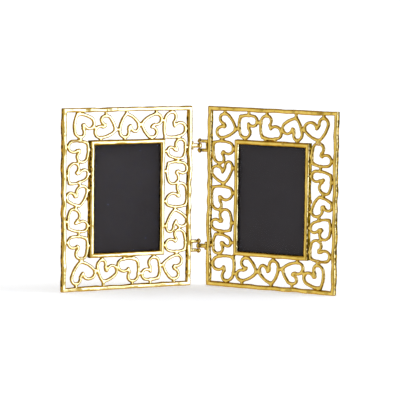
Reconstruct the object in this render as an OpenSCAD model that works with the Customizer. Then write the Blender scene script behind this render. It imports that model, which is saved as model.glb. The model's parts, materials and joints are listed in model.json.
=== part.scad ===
// Double picture frame: two hinged leaves, each with a photo window inside a border of open hearts.
// Both leaves are one casting. The left one is the right one turned half a turn in its own plane.

/* [Leaves] */
// Width of one leaf across its outer rail
leaf_w = 97.5; // [90:0.5:120]
// Height of one leaf, which is also the height of the whole frame
leaf_h = 127; // [118:0.5:150]
// How far each leaf is turned towards the viewer, away from lying flat
leaf_turn = 25; // [12:1:50]

/* [Outer rail] */
// Width of the outer rail, seen from the front
rail_w = 2.8; // [2:0.1:4]
// Depth of the outer rail, front to back
rail_d = 4; // [3.2:0.1:6]
// Rounding of the rail's long edges
rail_round = 1.1; // [0.4:0.1:1.3]

/* [Print, glass and back] */
// Width of the print that the window is made for
photo_w = 50.8; // [46:0.1:56]
// Height of the print
photo_h = 76.2; // [70:0.1:82]
// Thickness of the glass
glass_t = 1.2; // [0.8:0.1:2]
// Thickness of the print card
card_t = 0.4; // [0.3:0.1:0.8]
// Thickness of the backing board
backing_t = 1.8; // [1.2:0.1:3]
// Free space all round the print in its rebate
insert_gap = 0.3; // [0.15:0.05:0.5]

/* [Bezel] */
// Width of the bezel's face round the window
bezel_face = 3.3; // [2.8:0.1:4.5]
// How far the bezel's lip covers each edge of the print
lip_cover = 0.6; // [0.4:0.1:1]
// Thickness of the lip in front of the glass
lip_t = 2.4; // [1.6:0.1:3.5]
// Rounding of the bezel's front edges
bezel_round = 0.9; // [0.3:0.1:1.1]

/* [Hearts] */
// Width of the wire that the hearts are made of
wire_w = 2.2; // [1.6:0.1:2.8]
// Depth of that wire, front to back
wire_d = 2.4; // [1.6:0.1:2.8]
// How far the wire lies behind the front of the rail
wire_set_back = 1.1; // [0.6:0.1:1.4]
// Half the width of the brazed joints between the hearts, and to the rail and the bezel
braze_r = 1.2; // [0.8:0.1:1.6]

/* [Hinges] */
// From the hinge axis to the rail of each leaf
hinge_reach = 5.6; // [5:0.1:8]
// From the end of a leaf to the middle of each of its hinges
hinge_inset = 28; // [20:0.5:40]
// How far the hinge axis stands in front of the leaves' fronts
axis_proud = 0.3; // [0.2:0.05:0.6]
// Radius of the round knuckles
knuckle_r = 1.5; // [1.3:0.1:1.8]
// Height of each of the fork's two arms
arm_h = 2.5; // [2:0.1:3.5]
// Height of the tongue that sits between the arms
tongue_h = 3.5; // [2.5:0.1:5]
// Play above and below the tongue
tongue_play = 0.2; // [0.1:0.05:0.4]
// Thickness of the fork's and the tongue's roots on the rail
root_t = 1.4; // [1:0.1:2]
// How much higher the tongue's root is than the tongue, on each side
root_flare = 1.2; // [0.5:0.1:1.8]
// Diameter of the hinge pins
pin_d = 1.3; // [1:0.1:1.6]
// Radius of the domed pin heads
pin_head_r = 1.1; // [0.9:0.1:1.3]
// Height of the domed pin heads
pin_head_h = 0.7; // [0.5:0.1:1]
// Running clearance round a pin or a screw in what turns on it
turning_play = 0.05; // [0.03:0.01:0.09]

/* [Turn buttons] */
// Length of a turn button from end to end
button_l = 10.5; // [9:0.5:14]
// Width of a turn button
button_w = 3.8; // [3.2:0.1:4.6]
// Thickness of a turn button
button_t = 0.8; // [0.6:0.1:1.2]
// Gap under a turn button and between it and its screw's head
button_gap = 0.1; // [0.05:0.05:0.2]
// Diameter of a turn button's screw
screw_d = 1.2; // [1:0.1:1.4]
// Length of the screw inside the bezel
screw_grip = 2.6; // [2:0.1:3.2]
// Radius of the screw's head
screw_head_r = 1.3; // [1.1:0.1:1.6]
// Height of the screw's head
screw_head_h = 0.7; // [0.5:0.1:1]

/* [Hidden] */

gold = [0.79, 0.62, 0.28];
pale_gold = [0.86, 0.72, 0.42];
card_grey = [0.22, 0.21, 0.22];
felt_black = [0.09, 0.09, 0.10];
clear_glass = [0.80, 0.90, 0.92, 0.35];

// How far every cut runs past what it cuts
overrun = 0.5;
// Clearance round a pin or a screw in what holds it still
seat_play = 0.02;
// Smoothness of the turned and drilled shapes
$fn = 48;

// Places in a leaf are x along the leaf from the hinge axis, y backwards from that axis, and z up
leaf_x = hinge_reach;
leaf_mid_x = leaf_x + leaf_w / 2;
leaf_mid_z = leaf_h / 2;
front_y = axis_proud;

// The bezel is sized round its print
window_w = photo_w - 2 * lip_cover;
window_h = photo_h - 2 * lip_cover;
bezel_w = window_w + 2 * bezel_face;
bezel_h = window_h + 2 * bezel_face;
bezel_d = lip_t + glass_t + card_t + backing_t;
rebate_step = lip_cover + insert_gap;
bezel_wall = bezel_face - rebate_step;
bezel_back_y = front_y + bezel_d;

// No rounding may take more than this share of the thinner side that it rounds
round_limit_share = 0.42;
rail_r = min(rail_round, round_limit_share * min(rail_w, rail_d));
bezel_r = min(bezel_round, round_limit_share * min(bezel_face, lip_t));
corner_steps = 3;

// The border between the rail and the bezel is four bands, each with a row of five hearts
hearts_in_row = 5;
side_band_w = (leaf_w - bezel_w) / 2 - rail_w;
end_band_h = (leaf_h - bezel_h) / 2 - rail_w;
row_cell = [(leaf_w - 2 * rail_w) / hearts_in_row, end_band_h];
column_cell = [side_band_w, bezel_h / hearts_in_row];
inner_edge_x = leaf_x + rail_w;
bezel_right_x = leaf_mid_x + bezel_w / 2;
bezel_low_z = leaf_mid_z - bezel_h / 2;
bezel_high_z = leaf_mid_z + bezel_h / 2;
wire_front_y = front_y + wire_set_back;

// A cell's width as a share of its height, as the hearts below were drawn. They stretch with the cell
row_drawn_share = 0.92;
column_drawn_share = 1.09;

// One heart per line, in cells of its band: tip across and up, crown across and up, the heart's
// width as a share of a cell's height, how much wider and higher its right lobe is than an even
// one, and how far its cleft goes down from the middle of the lobes, as a share of its height
head_hearts_shares = [
    [0.97, 0.34, 0.27, 0.54, 0.86, -0.05, 0.06, 0.06],
    [1.18, 0.82, 1.65, 0.34, 0.85, 0.04, 0.28, -0.02],
    [2.08, 0.13, 2.55, 0.67, 0.93, 0.1, -0.14, 0],
    [3.44, 0.85, 3.27, 0.19, 0.77, 0.07, -0.25, 0.08],
    [4.36, 0.11, 4.3, 0.81, 0.89, -0.15, 0.26, 0.03]
];
foot_hearts_shares = [
    [0.93, 0.92, 0.38, 0.29, 0.93, 0.09, -0.15, 0.03],
    [1.92, 0.47, 1.2, 0.56, 0.84, -0.01, -0.24, 0.03],
    [2.54, 0.09, 2.37, 0.81, 0.75, 0.05, 0.21, 0.05],
    [3, 0.66, 3.69, 0.43, 0.81, -0.1, -0.17, 0.04],
    [4.54, 0.07, 4.16, 0.71, 0.8, -0.05, 0.17, 0.1]
];
inner_hearts_shares = [
    [0.21, 0.86, 0.63, 0.25, 0.93, 0.11, 0.04, 0.11],
    [0.82, 1.07, 0.24, 1.65, 1.06, 0.08, -0.01, 0.06],
    [0.08, 2.9, 0.55, 2.18, 1.14, -0.2, 0.2, 0.13],
    [0.52, 3.09, 0.49, 3.93, 0.99, -0.18, 0.32, 0.04],
    [0.09, 4.83, 0.65, 4.21, 1.05, -0.08, 0.03, 0.02]
];
outer_hearts_shares = [
    [0.11, 0.11, 0.67, 0.6, 1.05, 0.02, 0.06, 0.09],
    [0.85, 1.78, 0.32, 1.13, 0.92, -0.04, 0.12, 0.07],
    [0.43, 2.75, 0.63, 2.06, 0.98, 0.13, 0.2, 0.09],
    [0.87, 3.69, 0.28, 3.26, 1.11, -0.08, 0.07, 0.19],
    [0.12, 4.16, 0.67, 4.7, 1.08, 0.01, -0.1, 0.06]
];

// Brazed joints, in the same cells: a place, then the numbers of the hearts that meet there. One
// with a single heart lies on the band's edge, where the heart is brazed to what lies beyond
head_joints_shares = [
    [1.04, 0.38, 0, 1], [1.93, 0.64, 1, 2], [2.88, 0.39, 2, 3], [3.73, 0.46, 3, 4],
    [0.52, 1, 0], [1.51, 1, 1], [2.26, 1, 2], [3.44, 1, 3], [4.56, 1, 4],
    [0.43, 0, 0], [1.37, 0, 1], [2.20, 0, 2], [2.62, 0, 2], [3.51, 0, 3], [4.36, 0, 4]
];
foot_joints_shares = [
    [1.03, 0.35, 0, 1], [1.98, 0.48, 1, 2], [2.91, 0.62, 2, 3], [3.85, 0.55, 3, 4],
    [0.67, 0, 0], [1.32, 0, 1], [2.54, 0, 2], [3.39, 0, 3], [4.46, 0, 4],
    [0, 0.66, 0], [0.40, 1, 0], [0.98, 1, 0], [1.51, 1, 1], [2.62, 1, 2], [3.61, 1, 3], [4.42, 1, 4]
];
inner_joints_shares = [
    [0.41, 0.94, 0, 1], [0.41, 1.93, 1, 2], [0.52, 3.02, 2, 3], [0.35, 3.92, 3, 4],
    [0, 0.39, 0], [0, 1.30, 1], [0, 2.50, 2], [0, 3.57, 3], [0, 4.53, 4],
    [1, 0.54, 0], [1, 1.40, 1], [1, 2.70, 2], [1, 3.77, 3], [1, 4.61, 4],
    [0.37, 0, 0], [0.43, 5, 4]
];
outer_joints_shares = [
    [0.49, 0.91, 0, 1], [0.42, 1.84, 1, 2], [0.58, 2.80, 2, 3], [0.45, 3.95, 3, 4],
    [1, 0.23, 0], [1, 1.45, 1], [1, 2.37, 2], [1, 3.40, 3], [1, 4.30, 4],
    [0, 0.37, 0], [0, 1.40, 1], [0, 2.10, 2], [0, 3.62, 3], [0, 4.47, 4],
    [0.42, 0, 0], [0.34, 5, 4]
];

// A heart's own shape, as shares of its width and of its height from tip to crown
lobe_across_share = 0.28;
lobe_up_share = 0.70;
side_across_share = 0.29;
side_up_share = 0.15;
notch_angle = 165;
stem_angle = 205;
lobe_end_angle = -20;
lobe_steps = 6;
side_steps = 4;
// Share of the wire's width that each of its bevels takes
wire_bevel_share = 0.24;
// Share of the wire's depth that a brazed joint takes
braze_depth_share = 0.8;
braze_steps = 4;

// Hinges: a fork near the head of the casting and a tongue near its foot, one leaf's fork
// taking the other leaf's tongue
fork_z = leaf_h - hinge_inset;
tongue_z = hinge_inset;
fork_gap = tongue_h + 2 * tongue_play;
fork_h = fork_gap + 2 * arm_h;
arm_neck_share = 0.8;
root_front_share = 0.05;
root_back_share = 0.80;

// Turn buttons sit halfway up the bezel's two long sides
button_inset = rebate_step + bezel_wall / 2;
button_front_y = bezel_back_y + button_gap;
screw_head_y = button_front_y + button_t + button_gap;

// The part's origin lies under the middle of its box, between the knuckles at the back and the
// rounded free edges of the leaves at the front
front_corner_y = (front_y + rail_r) * cos(leaf_turn) - (leaf_x + leaf_w - rail_r) * sin(leaf_turn) - rail_r;
axis_y = -(front_corner_y + knuckle_r) / 2;

// Points of an arc, from one angle to another
function arc_points(centre, radius, from, to, steps) = [
    for (i = [0 : steps])
        let (a = from + (to - from) * i / steps)
        centre + radius * [cos(a), sin(a)]
];

// Section of the outer rail: across from its outer edge, then back from its front
rail_section = concat(
    arc_points([rail_r, rail_r], rail_r, 180, 270, corner_steps),
    arc_points([rail_w - rail_r, rail_r], rail_r, 270, 360, corner_steps),
    arc_points([rail_w - rail_r, rail_d - rail_r], rail_r, 0, 90, corner_steps),
    arc_points([rail_r, rail_d - rail_r], rail_r, 90, 180, corner_steps)
);

// Section of the bezel, with the rebate that the glass, the print and the back lie in
bezel_section = concat(
    arc_points([bezel_r, bezel_r], bezel_r, 180, 270, corner_steps),
    arc_points([bezel_face - bezel_r, bezel_r], bezel_r, 270, 360, corner_steps),
    [
        [bezel_face, lip_t],
        [bezel_wall, lip_t],
        [bezel_wall, bezel_d],
        [0, bezel_d]
    ]
);

// A mitred rectangular moulding, centred on the leaf, from its outer size and its section
module mitred_moulding(outer_w, outer_h, section) {
    n = len(section);
    corners = [[-1, -1], [1, -1], [1, 1], [-1, 1]];
    points = [
        for (c = corners)
            for (s = section)
                [c[0] * (outer_w / 2 - s[0]), s[1], c[1] * (outer_h / 2 - s[0])]
    ];
    faces = [
        for (c = [0 : 3])
            for (i = [0 : n - 1])
                let (next_c = (c + 1) % 4, next_i = (i + 1) % n)
                [c * n + i, c * n + next_i, next_c * n + next_i, next_c * n + i]
    ];
    translate([leaf_mid_x, front_y, leaf_mid_z])
        polyhedron(points = points, faces = faces, convexity = 4);
}

// One half of a heart's outline from cleft to tip, half a wire outside or inside its middle line.
// side is 1 for the right half and -1 for the left
function half_heart(w, h, off, side, wider, higher, cleft) =
    let (
        reach = w * (1 + side * wider),
        lobe = [lobe_across_share * w * (1 + side * wider / 2), lobe_up_share * h * (1 + side * higher / 2)],
        rx = (0.5 - lobe_across_share) * reach + off,
        ry = (1 - lobe_up_share) * h + off,
        from = off > 0 ? notch_angle : stem_angle,
        notch = off > 0
            ? [0, lobe_up_share * h + ry * sin(from) + off / 4]
            : [0, (lobe_up_share - cleft) * h + off],
        round_lobe = [
            for (i = [0 : lobe_steps])
                let (a = from + (lobe_end_angle - from) * i / lobe_steps)
                [max(lobe[0] + rx * cos(a), wire_w * wire_bevel_share / 2), lobe[1] + ry * sin(a)]
        ],
        start = round_lobe[lobe_steps],
        tip = [0, -off],
        pull = [side_across_share * reach + off / 2, side_up_share * h - off]
    )
    concat(
        [notch],
        round_lobe,
        [
            for (i = [1 : side_steps - 1])
                let (s = i / side_steps)
                (1 - s) * (1 - s) * start + 2 * s * (1 - s) * pull + s * s * tip
        ],
        [tip]
    );

// A whole outline: down the right half, and up the left one
function heart_outline(w, h, off, wider, higher, cleft) =
    let (
        right = half_heart(w, h, off, 1, wider, higher, cleft),
        left = half_heart(w, h, off, -1, wider, higher, cleft)
    )
    concat(right, [for (i = [len(left) - 2 : -1 : 1]) [-left[i][0], left[i][1]]]);

// A heart's outline in its band, as [x, z]. It stretches with its cell, but its wire doesn't
function placed_outline(heart, corner, cell, drawn_share, off) =
    let (
        tip = [heart[0], heart[1]],
        rise = [heart[2], heart[3]] - tip,
        drawn_rise = [rise[0] * drawn_share, rise[1]],
        drawn_across = heart[4] / norm(drawn_rise) * [drawn_rise[1], -drawn_rise[0]],
        up = [rise[0] * cell[0], rise[1] * cell[1]],
        across = [drawn_across[0] / drawn_share * cell[0], drawn_across[1] * cell[1]]
    )
    [
        for (p = heart_outline(norm(across), norm(up), off, heart[5], heart[6], heart[7]))
            corner + [tip[0] * cell[0], tip[1] * cell[1]]
                + p[0] / norm(across) * across + p[1] / norm(up) * up
    ];

// A closed loop of bevelled wire between an outer and an inner outline
module wire_loop(outside, inside) {
    rings = len(outside);
    near = wire_bevel_share;
    far = 1 - wire_bevel_share;
    // Each ring of the wire: share of the way inwards, then share of the depth
    ring_shares = [[0, 0.5], [near, 0], [far, 0], [1, 0.5], [far, 1], [near, 1]];
    sides = len(ring_shares);
    points = [
        for (i = [0 : rings - 1])
            for (r = ring_shares)
                let (place = (1 - r[0]) * outside[i] + r[0] * inside[i])
                [place[0], wire_front_y + r[1] * wire_d, place[1]]
    ];
    faces = [
        for (i = [0 : rings - 1])
            for (j = [0 : sides - 1])
                let (
                    next_i = (i + 1) % rings,
                    next_j = (j + 1) % sides,
                    a = i * sides + j,
                    b = i * sides + next_j,
                    c = next_i * sides + next_j,
                    d = next_i * sides + j
                )
                each [[a, c, b], [a, d, c]]
    ];
    polyhedron(points = points, faces = faces, convexity = 6);
}

// The point of a closed line that lies nearest to a place
function nearest_point(line, place) =
    let (
        n = len(line),
        feet = [
            for (i = [0 : n - 1])
                let (
                    start = line[i],
                    run = line[(i + 1) % n] - start,
                    share = max(0, min(1, (place - start) * run / (run * run)))
                )
                start + share * run
        ],
        gaps = [for (f = feet) norm(f - place)]
    )
    feet[search(min(gaps), gaps)[0]];

// A brazed joint with round ends, between two places given as [x, z]
module braze(from, to) {
    depth = wire_d * braze_depth_share;
    facing = atan2(to[1] - from[1], to[0] - from[0]);
    translate([0, wire_front_y + (wire_d + depth) / 2, 0])
        rotate([90, 0, 0])
            linear_extrude(depth)
                polygon(concat(
                    arc_points(to, braze_r, facing - 90, facing + 90, braze_steps),
                    arc_points(from, braze_r, facing + 90, facing + 270, braze_steps)
                ));
}

// A band of hearts and joints, trimmed flush to the rail, the bezel and the next bands.
// corner is the band's low corner as [x, z], and size its extent
module heart_band(corner, size, cell, drawn_share, hearts_shares, joints_shares) {
    outsides = [for (s = hearts_shares) placed_outline(s, corner, cell, drawn_share, wire_w / 2)];
    insides = [for (s = hearts_shares) placed_outline(s, corner, cell, drawn_share, -wire_w / 2)];
    middles = (outsides + insides) / 2;
    color(gold)
        intersection() {
            union() {
                for (i = [0 : len(hearts_shares) - 1])
                    wire_loop(outsides[i], insides[i]);
                for (s = joints_shares) {
                    place = corner + [s[0] * cell[0], s[1] * cell[1]];
                    braze(
                        nearest_point(middles[s[2]], place),
                        len(s) > 3 ? nearest_point(middles[s[3]], place) : place
                    );
                }
            }
            translate([corner[0], wire_front_y - overrun, corner[1]])
                cube([size[0], wire_d + 2 * overrun, size[1]]);
        }
}

module head_hearts() {
    heart_band([inner_edge_x, bezel_high_z], [leaf_w - 2 * rail_w, end_band_h], row_cell, row_drawn_share,
        head_hearts_shares, head_joints_shares);
}

module foot_hearts() {
    heart_band([inner_edge_x, rail_w], [leaf_w - 2 * rail_w, end_band_h], row_cell, row_drawn_share,
        foot_hearts_shares, foot_joints_shares);
}

module inner_hearts() {
    heart_band([inner_edge_x, bezel_low_z], [side_band_w, bezel_h], column_cell,
        column_drawn_share, inner_hearts_shares, inner_joints_shares);
}

module outer_hearts() {
    heart_band([bezel_right_x, bezel_low_z], [side_band_w, bezel_h], column_cell,
        column_drawn_share, outer_hearts_shares, outer_joints_shares);
}

module outer_rail() {
    color(gold) mitred_moulding(leaf_w, leaf_h, rail_section);
}

// Places things at the two turn buttons' screws, the inner one first; which is 1 or -1
module at_button(which) {
    translate([leaf_mid_x - which * (window_w / 2 + button_inset), 0, leaf_mid_z])
        children();
}

// A round bar along y, from one depth to another
module bar_back(radius, from_y, to_y) {
    translate([0, to_y, 0])
        rotate([90, 0, 0])
            cylinder(r = radius, h = to_y - from_y);
}

module bezel() {
    color(gold)
        difference() {
            mitred_moulding(bezel_w, bezel_h, bezel_section);
            for (which = [1, -1])
                at_button(which)
                    bar_back(screw_d / 2 + seat_play, bezel_back_y - screw_grip - button_gap,
                        bezel_back_y + overrun);
        }
}

// A flat sheet of the print's size, from a depth behind the bezel's front
module sheet(behind, thickness) {
    translate([leaf_mid_x - photo_w / 2, front_y + behind, leaf_mid_z - photo_h / 2])
        cube([photo_w, thickness, photo_h]);
}

module glass() {
    color(clear_glass) sheet(lip_t, glass_t);
}

module photo_card() {
    color(card_grey) sheet(lip_t + glass_t, card_t);
}

module backing_board() {
    color(felt_black) sheet(lip_t + glass_t + card_t, backing_t);
}

// A flat bar with round ends that holds the back in, turned about the screw near its outer end
module turn_button(which) {
    reach = button_l - button_w;
    color(pale_gold)
        at_button(which)
            difference() {
                union() {
                    bar_back(button_w / 2, button_front_y, button_front_y + button_t);
                    translate([which * reach, 0, 0])
                        bar_back(button_w / 2, button_front_y, button_front_y + button_t);
                    translate([min(0, which * reach), button_front_y, -button_w / 2])
                        cube([reach, button_t, button_w]);
                }
                bar_back(screw_d / 2 + turning_play, button_front_y - overrun,
                    button_front_y + button_t + overrun);
            }
}

// Domed head as an outline to revolve: radius and height, above zero
module dome(radius, height) {
    dome_r = (radius * radius + height * height) / (2 * height);
    intersection() {
        translate([0, height - dome_r]) circle(r = dome_r);
        square([radius, height]);
    }
}

module button_screws() {
    color(pale_gold)
        for (which = [1, -1])
            at_button(which)
                translate([0, screw_head_y, 0])
                    rotate([-90, 0, 0])
                        rotate_extrude() {
                            dome(screw_head_r, screw_head_h);
                            translate([0, bezel_back_y - screw_grip - screw_head_y])
                                square([screw_d / 2, screw_head_y - bezel_back_y + screw_grip + overrun / 2]);
                        }
}

// A tapered hinge arm: round at the axis, and broad where it meets the rail
module hinge_arm(height) {
    neck = arm_neck_share * knuckle_r;
    root_front = front_y + root_front_share * rail_d;
    root_back = front_y + root_back_share * rail_d;
    linear_extrude(height, center = true) {
        circle(r = knuckle_r);
        polygon([[0, -neck], [hinge_reach, root_front], [hinge_reach, root_back], [0, neck]]);
    }
}

// The root that carries a hinge arm on the rail's side
module hinge_root(height) {
    root_front = front_y + root_front_share * rail_d;
    translate([hinge_reach - root_t, root_front, -height / 2])
        cube([root_t, (root_back_share - root_front_share) * rail_d, height]);
}

module pin_bore(radius, height) {
    cylinder(r = radius, h = height + 2 * overrun, center = true);
}

module hinge_fork() {
    color(gold)
        translate([0, 0, fork_z])
            difference() {
                union() {
                    for (side = [1, -1])
                        translate([0, 0, side * (fork_gap + arm_h) / 2])
                            hinge_arm(arm_h);
                    hinge_root(fork_h);
                }
                pin_bore(pin_d / 2 + seat_play, fork_h);
            }
}

module hinge_tongue() {
    color(gold)
        translate([0, 0, tongue_z])
            difference() {
                union() {
                    hinge_arm(tongue_h);
                    hinge_root(tongue_h + 2 * root_flare);
                }
                pin_bore(pin_d / 2 + turning_play, tongue_h);
            }
}

// A pin headed over at both ends, in the fork of its leaf
module hinge_pin() {
    color(pale_gold)
        translate([0, 0, fork_z])
            rotate_extrude() {
                translate([0, fork_h / 2]) dome(pin_head_r, pin_head_h);
                mirror([0, 1]) translate([0, fork_h / 2]) dome(pin_head_r, pin_head_h);
                translate([0, -fork_h / 2 - pin_head_h / 4])
                    square([pin_d / 2, fork_h + pin_head_h / 2]);
            }
}

// Stands a leaf up beside the hinge axis, on the right or, turned half a turn, on the left
module right_leaf() {
    translate([0, axis_y, 0])
        rotate([0, 0, -leaf_turn])
            children();
}

module left_leaf() {
    translate([0, axis_y, 0])
        rotate([0, 0, leaf_turn])
            translate([0, 0, leaf_h])
                rotate([0, 180, 0])
                    children();
}

left_leaf() outer_rail();  // left_outer_rail
left_leaf() bezel();  // left_bezel
left_leaf() foot_hearts();  // left_top_hearts
left_leaf() head_hearts();  // left_bottom_hearts
left_leaf() inner_hearts();  // left_inner_hearts
left_leaf() outer_hearts();  // left_outer_hearts
left_leaf() hinge_fork();  // left_hinge_fork
left_leaf() hinge_tongue();  // left_hinge_tongue
left_leaf() hinge_pin();  // lower_hinge_pin
left_leaf() glass();  // left_glass
left_leaf() photo_card();  // left_photo_card
left_leaf() backing_board();  // left_backing_board
left_leaf() turn_button(1);  // left_inner_turn_button
left_leaf() turn_button(-1);  // left_outer_turn_button
left_leaf() button_screws();  // left_button_screws
right_leaf() outer_rail();  // right_outer_rail
right_leaf() bezel();  // right_bezel
right_leaf() head_hearts();  // right_top_hearts
right_leaf() foot_hearts();  // right_bottom_hearts
right_leaf() inner_hearts();  // right_inner_hearts
right_leaf() outer_hearts();  // right_outer_hearts
right_leaf() hinge_fork();  // right_hinge_fork
right_leaf() hinge_tongue();  // right_hinge_tongue
right_leaf() hinge_pin();  // upper_hinge_pin
right_leaf() glass();  // right_glass
right_leaf() photo_card();  // right_photo_card
right_leaf() backing_board();  // right_backing_board
right_leaf() turn_button(1);  // right_inner_turn_button
right_leaf() turn_button(-1);  // right_outer_turn_button
right_leaf() button_screws();  // right_button_screws
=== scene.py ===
# %% [markdown]
# # A double picture frame with borders of hearts
# Two cast leaves stand in a V and share two hinges. Each leaf is a hammered rail, a deep bezel with
# glass and a card in it, and twenty hearts of wire that are brazed in between. Everything is gold
# plated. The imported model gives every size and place, and this lesson adds the finish that hammer,
# solder and plating leave on the real one.

import json
import math

import bpy
import numpy as np
from mathutils import Matrix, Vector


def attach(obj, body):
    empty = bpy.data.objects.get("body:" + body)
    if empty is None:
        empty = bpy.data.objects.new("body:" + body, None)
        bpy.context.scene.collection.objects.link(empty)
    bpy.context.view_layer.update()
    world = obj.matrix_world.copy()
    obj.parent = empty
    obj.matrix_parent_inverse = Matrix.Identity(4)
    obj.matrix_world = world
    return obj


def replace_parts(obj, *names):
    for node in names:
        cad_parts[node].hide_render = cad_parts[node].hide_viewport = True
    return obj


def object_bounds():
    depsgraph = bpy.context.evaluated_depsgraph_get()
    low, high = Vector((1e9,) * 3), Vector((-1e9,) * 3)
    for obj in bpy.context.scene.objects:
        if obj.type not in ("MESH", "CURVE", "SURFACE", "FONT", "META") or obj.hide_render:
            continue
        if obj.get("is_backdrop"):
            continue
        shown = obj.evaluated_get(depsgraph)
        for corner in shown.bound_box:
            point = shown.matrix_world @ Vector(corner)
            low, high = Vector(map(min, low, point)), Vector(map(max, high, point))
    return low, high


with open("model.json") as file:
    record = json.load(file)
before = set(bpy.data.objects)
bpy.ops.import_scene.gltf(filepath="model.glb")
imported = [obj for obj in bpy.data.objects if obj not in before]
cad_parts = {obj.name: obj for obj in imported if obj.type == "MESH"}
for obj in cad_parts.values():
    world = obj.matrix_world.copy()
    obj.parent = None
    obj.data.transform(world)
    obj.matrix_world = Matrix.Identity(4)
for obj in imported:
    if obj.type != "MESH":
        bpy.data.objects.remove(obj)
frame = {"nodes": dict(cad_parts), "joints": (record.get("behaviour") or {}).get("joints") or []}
cad_low, cad_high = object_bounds()
print("packed model, mm:", [round(1000 * x, 1) for x in cad_high - cad_low])

# %% [markdown]
# ## One casting, stood up twice
# Both leaves are the same casting, so each form is worked out once, in the casting's own flat
# millimetres: x along the leaf from the hinge, y backwards from its front, z up. The right leaf is
# that casting turned about the hinge. The left one is first turned half a turn in its own plane.
# The hinge's place and the leaves' angle are read from the joints, not measured again.

# %% Where the leaves stand
MM = 0.001
joint_at = {joint["name"]: joint for joint in frame["joints"]}
hinge_y = joint_at["leaf_hinge"]["pos_m"][1] / MM
back_x, back_y, _ = joint_at["right_inner_button_turn"]["axis"]
leaf_turn = math.atan2(-back_x, -back_y)
leaf_h = (cad_high.z - cad_low.z) / MM
print("hinge axis at y =", round(hinge_y, 2), "mm, leaves turned", round(math.degrees(leaf_turn), 1))


def turned(points, angle):
    """Points turned about the z axis: x' = x cos - y sin, y' = x sin + y cos."""
    x, y, z = np.moveaxis(points, -1, 0)
    return np.stack([x * math.cos(angle) - y * math.sin(angle),
                     x * math.sin(angle) + y * math.cos(angle), z], axis=-1)


def half_turned(points):
    """Points turned half a turn about the y axis, over the leaf's own middle height."""
    return points * [-1, 1, -1] + [0, 0, leaf_h]


def stand(points, side):
    """Points of the flat casting, in millimetres, as places in the frame, in metres."""
    if side == "left":
        return (turned(half_turned(points), leaf_turn) + [0, hinge_y, 0]) * MM
    return (turned(points, -leaf_turn) + [0, hinge_y, 0]) * MM


def laid_flat(points, side):
    """The other way round: places in the frame, in metres, as points of the flat casting."""
    points = points / MM - [0, hinge_y, 0]
    if side == "left":
        return half_turned(turned(points, -leaf_turn))
    return turned(points, leaf_turn)


# %% Sizes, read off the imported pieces
def corners_of(mesh):
    """All of a mesh's corners as one array."""
    flat = np.empty(3 * len(mesh.vertices))
    mesh.vertices.foreach_get("co", flat)
    return flat.reshape(-1, 3)


def flat_box(node):
    """Lowest and highest corner of a piece of the right leaf, in the flat casting."""
    points = laid_flat(corners_of(frame["nodes"][node].data), "right")
    return points.min(axis=0), points.max(axis=0)


rail_low, rail_high = flat_box("right_outer_rail")
bezel_low, bezel_high = flat_box("right_bezel")
glass_low, glass_high = flat_box("right_glass")
column_low, column_high = flat_box("right_inner_hearts")
rail_w = column_low[0] - rail_low[0]
wire_front, wire_back = column_low[1], column_high[1]
print("leaf", np.round(rail_high - rail_low, 1), "rail", round(rail_w, 2),
      "bezel", np.round(bezel_high - bezel_low, 1))

# %% [markdown]
# ## From numbers to a mesh
# A surface here is an array of points on a grid, so its faces follow from the grid alone. Blender
# takes whole arrays through foreach_set, which is far quicker than adding corners one by one. A
# closed surface has to face outwards. Its signed volume, the sum over its faces of corner times
# face area, tells whether it does, and if it is negative every face is turned over.

# %% Grids, faces and pieces
def grid_faces(rows, columns, first=0):
    """Faces of a grid that closes on itself both ways, as four corner numbers each."""
    r, c = np.meshgrid(np.arange(rows), np.arange(columns), indexing="ij")
    next_r, next_c = (r + 1) % rows, (c + 1) % columns
    ring = [r * columns + c, r * columns + next_c, next_r * columns + next_c, next_r * columns + c]
    return np.stack(ring, axis=-1).reshape(-1, 4) + first


def facing_out(points, faces):
    """The faces, turned over if the closed surface that they make is inside out."""
    a, b, c, d = (points[faces[:, k]] for k in range(4))
    volume = np.einsum("ij,ij->i", a, np.cross(b - a, c - a) + np.cross(c - a, d - a)).sum()
    return faces if volume > 0 else faces[:, ::-1]


def mesh_from(name, points, faces):
    """A mesh from arrays of corners and of four-cornered faces, shaded smooth."""
    mesh = bpy.data.meshes.new(name)
    mesh.vertices.add(len(points))
    mesh.vertices.foreach_set("co", np.ascontiguousarray(points, np.float32).ravel())
    mesh.loops.add(faces.size)
    mesh.loops.foreach_set("vertex_index", np.ascontiguousarray(faces, np.int32).ravel())
    mesh.polygons.add(len(faces))
    mesh.polygons.foreach_set("loop_start", np.arange(0, faces.size, 4, dtype=np.int32))
    mesh.update(calc_edges=True)
    mesh.shade_smooth()
    return mesh


def show(name, points, faces):
    """A piece in the scene, from points in metres."""
    piece = bpy.data.objects.new(name, mesh_from(name, points, facing_out(points, faces)))
    bpy.context.scene.collection.objects.link(piece)
    return piece


def each_side(name):
    """A name with the side of each leaf in front of it."""
    return {side: f"{side}_{name}" for side in ("left", "right")}


def both_leaves(form, points, faces, nodes, finish, slot, tarnish=None, body="leaf"):
    """The same form on both leaves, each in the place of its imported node, riding on its body."""
    for side in ("left", "right"):
        piece = show(f"{side}_{form}", stand(points, side), faces)
        if tarnish is not None:
            layer = piece.data.attributes.new("tarnish", "FLOAT", "POINT")
            layer.data.foreach_set("value", np.ascontiguousarray(tarnish[side], np.float32))
        piece.data.materials.append(finish)
        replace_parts(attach(piece, f"{side}_{body}"), nodes[side])
    print(form, len(faces), "faces")


# %% [markdown]
# ## Hammer marks
# Hand hammering leaves two things: shallow round dents that meet in soft ridges, and edges that
# wander. The dents are cells round scattered points, where the depth falls with the square of the
# distance to the nearest point. The wander is a smooth noise between random values on a lattice.
# Both are functions of the place alone, so neighbouring pieces carry on each other's marks.

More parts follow.
